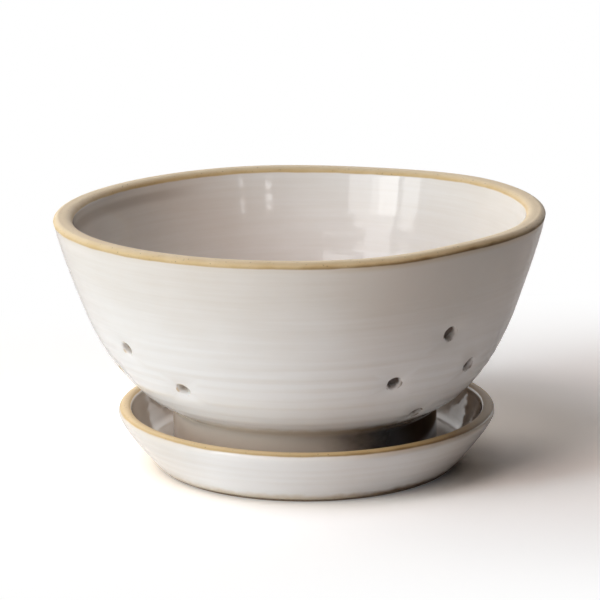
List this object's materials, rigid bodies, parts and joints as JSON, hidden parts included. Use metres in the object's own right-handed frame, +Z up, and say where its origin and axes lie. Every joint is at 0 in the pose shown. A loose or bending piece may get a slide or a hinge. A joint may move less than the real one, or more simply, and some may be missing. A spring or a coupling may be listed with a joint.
{
  "type": "berry colander bowl",
  "caption": "Wheel-thrown stoneware berry bowl with drain holes low in its wall, standing in a matching drip saucer.",
  "frame": {"origin": "centre of the saucer's underside, on the surface that it stands on", "axes": "+Z up along the axis that both pieces were thrown on, -Y towards the pictured front, +X to the picture's right"},
  "size_m": [0.178, 0.178, 0.094],
  "materials": {
    "bowl_glaze": "glossy off-white glaze over tan stoneware, bare at the lip and foot",
    "saucer_glaze": "glossy off-white glaze over tan stoneware, bare at the lip and base"
  },
  "bodies": {
    "saucer": {"drip_saucer": "saucer_glaze"},
    "bowl": {"colander_bowl": "bowl_glaze"}
  },
  "joints": [
    {"name": "bowl_lift", "type": "slide", "parent": "saucer", "child": "bowl", "axis": [0, 0, 1], "range_m": [0, 0.12]}
  ]
}
